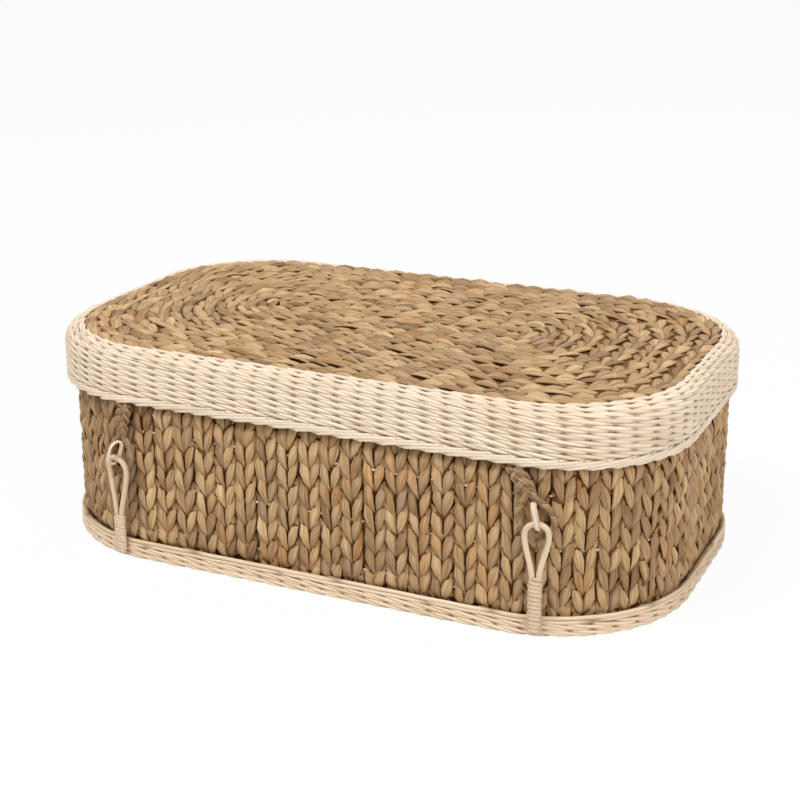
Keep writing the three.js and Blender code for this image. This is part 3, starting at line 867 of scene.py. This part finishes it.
# Spiral plaits: the lid's panel and the floor
class Spiral:
    def __init__(self, length, depth, radius, turns):
        self.reach = depth / 2
        self.core = length - depth
        self.radius = radius
        self.turns = turns
        self.pitch = self.reach / turns
        self.walk()

    def outline(self, reach, corner, turned, beyond):
        outward, onward, signX, signY = cornerWays(corner, turned)
        squareness = 1 - self.radius / self.reach
        radius = reach * (1 - squareness * reach / self.reach)
        length = np.where(corner % 2 == 1, self.core + 2 * reach, 2 * reach) - 2 * radius
        middle = np.stack([signX * (self.core / 2 + reach - radius), signY * (reach - radius)], -1)
        return middle + outward * radius[..., None] + onward * (beyond * length)[..., None]

    # One turn's stations: the corner, the share of it, the share of the side after it, and a
    # running number, which grows by 4 round a corner, 3 along a long side and 1 along a short one
    def stations(self):
        rows = []
        for corner, base in enumerate((0, 5, 12, 17)):
            longSide = corner % 2 == 1
            sideSteps, sideSpan = (12, 3) if longSide else (3, 1)
            for step in range(12):
                rows.append((corner, step / 12, 0, base + 4 * step / 12))
            for step in range(sideSteps):
                rows.append((corner, 1, step / sideSteps, base + 4 + sideSpan * step / sideSteps))
        return np.array(rows)

    def walk(self):
        once = self.stations()
        rows = np.concatenate([once] * (self.turns + 1))
        turn = np.repeat(np.arange(self.turns + 1), len(once))
        corner = rows[:, 0].astype(int)
        reached = self.pitch * (turn + smoothShare((rows[:, 3] - 5) / 11))
        outer = np.minimum(reached, self.reach)
        inner = np.clip(reached - self.pitch, 0, None)
        kept = outer - inner > 0.3 * self.pitch
        self.inside = self.outline(inner, corner, rows[:, 1], rows[:, 2])[kept]
        self.outside = self.outline(outer, corner, rows[:, 1], rows[:, 2])[kept]
        self.share = ((inner + outer) / 2 / self.reach)[kept]
        self.walked = walkedTo((self.inside + self.outside) / 2)

    # So far along the plait and so far across it, -1 inside to 1 outside. Gives the place, and
    # the share of the way from the core to the panel's border.
    def place(self, along, across):
        at = np.clip(along, 0, self.walked[-1])
        inner = sampled(at, self.walked, self.inside)
        outer = sampled(at, self.walked, self.outside)
        share = (across / 2 + 0.5)[..., None]
        return inner + (outer - inner) * share, np.interp(at, self.walked, self.share)


# The flat plaits lie looser than the wall's
flatPlait = {**plait, "tipDrop": 1.3, "topDrop": 2.7, "loose": 1.5, "overlap": 0.3}


def spiralLeaves(form, spiral, rng, surface, under=False):
    pitch = plait["pitch"]
    count = int(spiral.walked[-1] / pitch) - 1
    starts = np.repeat(np.arange(count) * pitch, 2) + 1
    sides = np.tile([-1, 1], count)
    lengths = plait["reach"] * rng.uniform(0.94, 1.06, len(starts))
    size = {**flatPlait, "crown": surface["crown"]}
    along, across, up = layLeaves(form, starts, sides, lengths, spiral.pitch / 2, rng, size)
    flat, share = spiral.place(along, across / (spiral.pitch / 2))
    crown = surface["dome"] * (1 - share**2)
    height = surface["under"] - up if under else surface["top"] + up
    return joined(flat, 0) + np.stack([np.zeros_like(height)] * 2 + [(height + crown) * mm], -1)


# The lid's dome rises from the panel's border to its core
lidPlait = {
    "outline": (panel["length"] + 1.6, panel["depth"] + 1.6, panel["cornerRadius"] + 0.8),
    "turns": 9,
    "top": 165.8,
    "under": 156.0,
    "dome": 2.7,
    "crown": 2.6,
    "seed": 21,
}
floorPlait = {
    "outline": (471.6, 276.6, 93),
    "turns": 9,
    "top": 9.5,
    "under": 2.5,
    "dome": 0,
    "crown": 1.9,
    "seed": 23,
}
# painted shade: dark sheets under the lid's and the floor's plaits, which show through their gaps as
# shade
lidShadeSheet = {"outline": (472, 277, 91.5), "bottom": 159.2, "top": 162.8, "dome": 2.7}
floorShadeSheet = {"outline": (468, 273, 90), "bottom": 5.2, "top": 6.8, "dome": 0}
lidHome = ("lid", "hyacinth", "lid_panel")
floorHome = ("basket", "hyacinth", "base_panel")


def addPanel(name, surface, form, material, home):
    rng = np.random.default_rng(surface["seed"])
    spiral = Spiral(*surface["outline"], surface["turns"])
    top = spiralLeaves(form, spiral, rng, surface)
    addStalks(name, form, top, material, rng, home)
    low = spiralLeaves(plainLeaf, spiral, rng, surface, under=True)
    addStalks(name + "_under", plainLeaf, low, stalk, rng, home)


# A closed sheet of two domes, each of rings that draw in to the line along its middle
def addSheet(name, size, material, home):
    steps, rings = 96, 9
    outline = Outline(*size["outline"])
    flat = outline.place(*outline.station(np.arange(steps) / steps * outline.girth))
    core = (outline.length - outline.depth) / 2
    middle = np.stack([np.clip(flat[:, 0], -core, core), np.zeros(steps)], -1)
    points = []
    faces = []
    for level in (size["bottom"], size["top"]):
        for ring in range(rings):
            near = len(points) * steps
            share = 1 - ring / rings
            height = level + size["dome"] * (1 - share**2)
            points.append(joined(middle + (flat - middle) * share, height))
            if ring < rings - 1:
                faces += bandFaces(near, near + steps, steps)
            else:
                faces.append(tuple(near + i for i in range(steps)))
    faces += bandFaces(0, rings * steps, steps)
    made = newPiece(name, np.stack(points), faces, material)
    turnFacesOut(made)
    return settle(made, *home)


# Trim round the foot
trim = {
    "stakes": 84,
    "rows": 2,
    "rowHeight": 4.6,
    "halfWidth": 1.3,
    "halfThickness": 1.15,
    "front": 1.85,
    "back": 0.2,
    "drift": 0.08,
    "seed": 31,
}
underTrim = {**trim, "rows": 4, "rowHeight": 4.3, "front": -1.1, "back": -1.6}
trimCore = [(-0.7, 0.5), (0.8, 0.5), (0.8, 14.0), (-0.7, 14.0)]
trimHome = ("basket", "cane", "base_trim")
longStrands = {
    "heights": (10.7, 13.5),
    "toRound": 12,
    "span": 7.4,  # in stakes
    "halfWidth": 1.5,
    "halfThickness": 1.2,
    "front": 1.7,
    "back": -0.3,
}


# Long canes above the waled rows, a few to a round, each end tucked behind the next
def trimStrands(form, size, rng):
    wide, thick, share = formRows(form)
    level, start = allPairs(size["heights"], np.arange(size["toRound"]))
    loose = lambda amount: rng.normal(0, amount, start.shape)
    at, lane, out = strokeLine(share, size["span"], 0.3, -0.3, size["front"], size["back"], 0.4, 0.4, 0)
    travelled = start * trim["stakes"] / size["toRound"] + level + at + loose(0.1)
    wave = 0.16 * np.sin(travelled * 3.1) + 0.1 * np.sin(travelled * 1.3)
    height = level + lane + wave + wide * size["halfWidth"] + loose(0.08)
    return travelled, height, out + thick * size["halfThickness"]


def addTrim():
    rng = np.random.default_rng(trim["seed"])
    spacing = wallLine.girth / trim["stakes"]
    for name, form, strokes in (
        ("foot_waling", waleCane, waleStrokes(waleCane, trim, rng)),
        ("foot_strands", footStrand, trimStrands(footStrand, longStrands, rng)),
    ):
        travelled, height, out = strokes
        places = onFoot(travelled * spacing, np.clip(height + 0.1, 0.02, 15.3), np.minimum(out, 2.99))
        addCopies(name, form, places, footCane, rng, trimHome)
    # painted shade: the core behind the foot's canes is coloured as the shade in its holes
    addRing("foot_core", wallLine, trimCore, stakeShadow, trimHome)
    travelled, inset, low = waleStrokes(plainCane, underTrim, rng)
    places = onFoot(travelled * spacing, np.clip(-low, 0.02, 2.2), -inset)
    addCopies("foot_under", plainCane, places, footCane, rng, trimHome)


# Each closure's own place, heights, turns and leans, as in the photo
closures = {
    "front_right": {
        "x": 168,
        "nose": 86.5,
        "crotch": 102,
        "whippingTop": 46,
        "turns": 13.3,
        "lean": 0.4,
        "linkLean": -0.22,
        "linkTurn": 0,
        "linkRadius": 3.85,
        "linkReach": 10.2,
        "start": -14.5,  # where its strap starts, across from its middle
        "eye": (0.88, 1.22),  # its sides' widths
        "seed": 41,
    },
    "front_left": {
        "x": -160,
        "nose": 82.5,
        "crotch": 96.5,
        "whippingTop": 35,
        "turns": 10.3,
        "lean": 3.4,
        "linkLean": 0.3,
        "linkTurn": 14,
        "linkRadius": 5.1,
        "linkReach": 8.2,
        "start": 9,
        "eye": (0.8, 0.9),
        "seed": 43,
    },
}
closures["back_left"] = {**closures["front_right"], "back": True, "seed": 45}
closures["back_right"] = {**closures["front_left"], "back": True, "seed": 47}

# What the closures share, across from the middle, out of the wall's face, and up or down
limb = {"middle": 2.25, "out": 6.45, "radius": 2.05, "low": 5, "noseOut": 10.91}
bow = {
    "drop": 10.5,
    "across": 8.1,
    "out": 7.65,
    "upperRise": 7.56,
    "upperAcross": 5.99,
    "upperOut": 9.67,
}
whipping = {"gap": 0.72, "low": 5.4, "drop": 1.4, "halfWidth": 1.72, "halfThickness": 0.22}
link = {
    "turns": 2.15,
    "start": 0.62,
    "inside": 3.85,
    "lean": 3,  # degrees towards the wall
    "aside": 0.7,
    "spread": 0.42,
    "halfWidth": 1.65,
    "halfThickness": 0.5,
}
strap = {
    "out": 3.0,
    "top": 122.0,
    "cord": 0.95,
    "cordStep": 1.6,
    "swing": 4.3,
    "lift": 1.2,
    "pitch": 19,
    "halfWidth": 11.55,
    "eyeHeight": 28,
}
eyeCord = {"count": 4, "radius": 1.2, "reach": 1.35, "pitch": 11}
away = np.array([0.0, 1.0, 0.0])


# The places of a closure's points in metres
def byWall(closure, points):
    radius = wall["cornerRadius"]
    past = abs(closure["x"]) - (wall["length"] / 2 - radius)
    turned = math.asin(past / radius) * math.copysign(1, closure["x"])
    faceY = -(wall["depth"] / 2 - radius + radius * math.cos(turned))
    across, out, height = points[..., 0], points[..., 1], points[..., 2]
    x = closure["x"] + across * math.cos(turned) + out * math.sin(turned)
    y = faceY + across * math.sin(turned) - out * math.cos(turned)
    flat = np.stack([x, y], -1)
    return joined(-flat if closure.get("back") else flat, height)


def loopPath(closure):
    nose, top = closure["nose"], closure["whippingTop"]
    widest = nose - bow["drop"]
    half = [
        (limb["middle"], limb["out"], limb["low"]),
        (limb["middle"], limb["out"], (limb["low"] + top) / 2),
        (limb["middle"], limb["out"], top),
        (bow["across"], bow["out"], widest),
        (bow["upperAcross"], bow["upperOut"], widest + bow["upperRise"]),
    ]
    mirrored = [(-across, out, height) for across, out, height in half[::-1]]
    path = smoothPath([*half, (0, limb["noseOut"], nose), *mirrored])
    path[:, 0] += closure["lean"] * np.clip((path[:, 2] - top) / (nose - top), 0, 1)
    return path


def whippingPath(closure, rng):
    turns = closure["turns"]
    steps = int(turns * 28)
    turn = np.linspace(0, turns, steps)
    angle = turn * 2 * math.pi
    radius = limb["radius"] + whipping["gap"]
    level = np.cos(angle)
    across = limb["middle"] * np.sign(level) * np.abs(level) ** 0.35 + radius * level
    out = limb["out"] + radius * np.sin(angle)
    low, high = whipping["low"], closure["whippingTop"] - whipping["drop"]
    unevenness = np.interp(turn, np.arange(int(turns) + 2), rng.normal(0, 0.22, int(turns) + 2))
    height = low + (high - low) * turn / turns + unevenness + 0.35 * np.sin(angle)
    facing = np.stack([level, np.sin(angle), np.zeros(steps)], -1)
    return np.stack([across, out, height], -1), facing


# A long ring: round the bottom, up its outer side, round the top and down its inner side
def linkPath(closure):
    radius, straight = closure["linkRadius"], closure["linkReach"]
    lean, turned = math.radians(link["lean"]), math.radians(closure["linkTurn"])
    turns = link["turns"]
    share = np.linspace(0, turns, 160)
    half = math.pi * radius
    gone = np.mod(share + link["start"], 1) * (2 * half + 2 * straight)
    parts = [gone < half, gone < half + straight, gone < 2 * half + straight]
    angles = [math.pi + gone / radius, 2 * math.pi + 0 * gone, (gone - half - straight) / radius]
    angle = np.select(parts, angles, math.pi)
    lifts = [0 * gone, gone - half, straight + 0 * gone]
    lift = np.select(parts, lifts, 2 * straight + 2 * half - gone)
    own = radius + link["spread"] * (2 * share / turns - 1)
    out = own * np.cos(angle) + radius - link["inside"]
    height = own * np.sin(angle) + lift
    leaned = out * math.cos(lean) - height * math.sin(lean)
    height = out * math.sin(lean) + height * math.cos(lean)
    across = closure["lean"] + link["aside"] * (share / turns - 0.5) + closure["linkLean"] * height
    across = across - leaned * math.sin(turned)
    out = limb["noseOut"] + leaned * math.cos(turned)
    path = np.stack([across, out, closure["nose"] + height], -1)
    level = np.cos(angle)
    facing = np.stack([-level * math.sin(turned), level * math.cos(turned), np.sin(angle)], -1)
    return path, facing


# The eye's outline, from the crotch down its side to the bottom, in half widths and heights
eyeShape = [
    (0.1, 0.24),
    (0.22, 0.14),
    (0.26, 0),
    (0.62, -0.16),
    (0.97, -0.42),
    (0.93, -0.7),
    (0.52, -0.94),
    (0, -1),
]


def eyeSide(closure, side):
    aside = 0.4 * closure["start"]
    rows = []
    for share, up in eyeShape:
        across = aside * (1 + up) + side * share * strap["halfWidth"] * closure["eye"][(side + 1) // 2]
        rows.append((across, strap["out"], closure["crotch"] + up * strap["eyeHeight"]))
    return smoothPath(rows)


# Cords twisted round a path
def twisted(path, cords, radius, pitch, start):
    walked = walkedTo(path)
    fine = np.linspace(0, walked[-1], 260)
    middle = sampled(fine, walked, path)
    forward = unit(np.gradient(middle, axis=0))
    normal = unit(away - forward * np.sum(away * forward, axis=1, keepdims=True))
    side = np.cross(forward, normal)
    lines = []
    for k in range(cords):
        angle = (fine / pitch + k / cords + start) * 2 * math.pi
        turn = normal * np.cos(angle)[:, None] + side * np.sin(angle)[:, None]
        lines.append(middle + turn * radius)
    return lines


# Three strands, each of three cords side by side
def braidLines(closure):
    high, low = strap["top"], closure["crotch"] + 1.5
    share = np.linspace(0, 1, 140)
    aside = (closure["start"] - 1.5) * (1 - 0.65 * share)
    height = high + (low - high) * share
    lines = []
    for k in range(3):
        phase = 2 * math.pi * ((high - height) / strap["pitch"] + k / 3)
        pinch = 1 - 0.35 * smoothShare((share - 0.8) / 0.2)
        across = strap["swing"] * np.sin(phase) * pinch
        out = strap["out"] + strap["lift"] * np.sin(2 * phase)
        slant = np.cos(phase)
        for offset in (-strap["cordStep"], 0, strap["cordStep"]):
            beside = aside + across + offset * (1 - 0.2 * abs(slant))
            lines.append(np.stack([beside, out, height + offset * slant * 0.5], -1))
    return lines


# Loose hairs that stand off from each of some places
def hairs(rng, middles, spread, length):
    rows = []
    for middle in middles:
        start = np.array(middle) + rng.normal(0, spread, 3) * [1, 0.5, 1]
        aim = rng.normal(0, 1, 3) * [1, 0.5, 1] + [0, 0.5, -0.4]
        aim /= np.linalg.norm(aim)
        bend = rng.normal(0, 0.35, 3)
        reach = length * rng.uniform(0.5, 1)
        path = smoothPath([start, start + aim * reach * 0.5, start + (aim + bend) * reach], 6)
        path[:, 1] = np.maximum(path[:, 1], 0.6)
        rows.append(layAlong(hair, path, 0.16, 0.16, [0.3, 1, 0.2]))
    return rows


def addClosure(corner, closure):
    rng = np.random.default_rng(closure["seed"])

    def addTied(name, rows, form, material, body, slotName, node):
        places = byWall(closure, np.stack(rows))
        addCopies(f"{name}_{corner}", form, places, material, rng, (body, slotName, f"{node}_{corner}"))

    loop = layAlong(longCane, loopPath(closure), limb["radius"], limb["radius"], away)
    addTied("loop", [loop], longCane, loopCane, "basket", "binding_cane", "cane_loop")
    path, facing = whippingPath(closure, rng)
    wound = layAlong(strip, path, whipping["halfWidth"], whipping["halfThickness"], facing)
    addTied("whipping", [wound], strip, whippingCane, "basket", "binding_cane", "loop_whipping")
    path, facing = linkPath(closure)
    ring = layAlong(shortStrip, path, link["halfWidth"], link["halfThickness"], facing)
    addTied("tie", [ring], shortStrip, paleCane, f"{corner}_link", "binding_cane", "link")
    sides = {side: eyeSide(closure, side) for side in (-1, 1)}
    rows = [layAlong(cord, line, strap["cord"], strap["cord"], away) for line in braidLines(closure)]
    for side, path in sides.items():
        pitch, radius = eyeCord["pitch"] * side, eyeCord["radius"]
        lines = twisted(path, eyeCord["count"], eyeCord["reach"], pitch, 0.1 * side)
        rows += [layAlong(cord, line, radius, radius, away) for line in lines]
    addTied("plait", rows, cord, twine, "lid", "plaited_strap", "strap")
    bottom = (0, strap["out"], closure["crotch"] - strap["eyeHeight"] + 1)
    crotch = (0.4 * closure["start"], strap["out"] + 1, closure["crotch"] + 2)
    fuzz = hairs(rng, [bottom] * 26, 1.9, 6) + hairs(rng, [crotch] * 12, 2, 5)
    for path in sides.values():
        fuzz += hairs(rng, path[8::9] + [0, 1.5, 0], 1.3, 4)
    addTied("fuzz", fuzz, hair, twine, "lid", "plaited_strap", "strap")


# The wall's top border: canes roll over it from the outside to the inside
wallBorder = {
    "halfWidth": 1.3,
    "halfThickness": 1.0,
    "middle": (-8.1, 146.9),
    "reach": (2.9, 2.0),
    "first": -35,
    "turned": 250,
    "span": 1.9,
    "seed": 51,
}
rimCore = [(-10.3, 144.6), (-6.0, 144.6), (-6.0, 148.2), (-10.3, 148.2)]
rimHome = ("basket", "cane", "wall_border")


def addWallBorder():
    rng = np.random.default_rng(wallBorder["seed"])
    spacing = wallLine.girth / wall["columns"]
    wide, thick, share = formRows(borderCane)
    stake = np.arange(wall["columns"])[:, None]
    loose = lambda amount: rng.normal(0, amount, stake.shape)
    rolled = wallBorder["first"] + wallBorder["turned"] * smoothShare(share * 0.9 + 0.05)
    angle = np.radians(rolled) * np.ones_like(stake)
    across = wide * wallBorder["halfWidth"] * (1 + loose(0.05))
    thick = thick * wallBorder["halfThickness"]
    middle, reach = wallBorder["middle"], wallBorder["reach"]
    out = middle[0] + (reach[0] + thick) * np.cos(angle)
    height = np.clip(middle[1] + (reach[1] + thick) * np.sin(angle), 143.85, 149.95)
    travelled = stake + share * wallBorder["span"] + loose(0.04)
    flat = wallLine.place(*wallLine.station(travelled * spacing + across), out)
    addCopies("wall_rim", borderCane, joined(flat, height), paleCane, rng, rimHome)
    addRing("wall_rim_core", wallLine, rimCore, bindingCane, rimHome)


# One long cane bent round under the lid's shoulder
hoop = {"inset": 9.75, "height": 153.2, "radius": 2.85, "seed": 53}


def addHoop():
    rng = np.random.default_rng(hoop["seed"])
    travelled = wayRound(lidLine)
    inset = np.full_like(travelled, hoop["inset"])
    bent = bendRound(inLid(travelled, inset, hoop["height"]), hoop["radius"])
    addCopies("hoop_cane", ringCane, bent[None], paleCane, rng, ("lid", "cane", "lid_hoop"))


addCamera()
addLamps()
addWall()
print("wall plaited")
addSkirt()
addLidBorder()
print("skirt waled")
addPanel("lid_plait", lidPlait, fullLeaf, lidStalk, lidHome)
addSheet("lid_shade_sheet", lidShadeSheet, lidPlaitShade, lidHome)
addPanel("floor_plait", floorPlait, plainLeaf, stalk, floorHome)
addSheet("floor_shade_sheet", floorShadeSheet, plaitShade, floorHome)
print("lid and floor plaited")
addTrim()
print("foot trimmed")
addWallBorder()
addHoop()
for corner, closure in closures.items():
    addClosure(corner, closure)
print("closures tied")


# Floor and background
def addFloor():
    deselectAll()
    bpy.ops.mesh.primitive_plane_add(size=14, location=(0, 0, -0.0005))
    floor = bpy.context.object
    floor.name = "studio_floor"
    finish = Finish("studio_white")
    finish.tree.nodes.remove(finish.shader)
    paper = finish.node("ShaderNodeBsdfDiffuse", sockets={"Color": (0.8, 0.8, 0.8, 1)})
    glow = finish.node("ShaderNodeEmission", sockets={"Color": (1, 1, 1, 1), "Strength": 1})
    seen = finish.node("ShaderNodeLightPath")
    mixed = finish.node("ShaderNodeMixShader", None, seen * 0.94, paper, glow)
    finish.plug(finish.tree.nodes["Material Output"].inputs["Surface"], mixed)
    floor.data.materials.append(finish.material)


def setWorld():
    world = bpy.data.worlds.new("studio")
    bpy.context.scene.world = world
    world.use_nodes = True
    nodes, links = world.node_tree.nodes, world.node_tree.links
    seen = nodes.new("ShaderNodeLightPath")
    strength = nodes.new("ShaderNodeMapRange")
    links.new(seen.outputs["Is Camera Ray"], strength.inputs["Value"])
    strength.inputs["To Min"].default_value = 0.4
    strength.inputs["To Max"].default_value = 1
    nodes["Background"].inputs["Color"].default_value = (1, 1, 1, 1)
    links.new(strength.outputs[0], nodes["Background"].inputs["Strength"])


addFloor()
setWorld()
deselectAll()
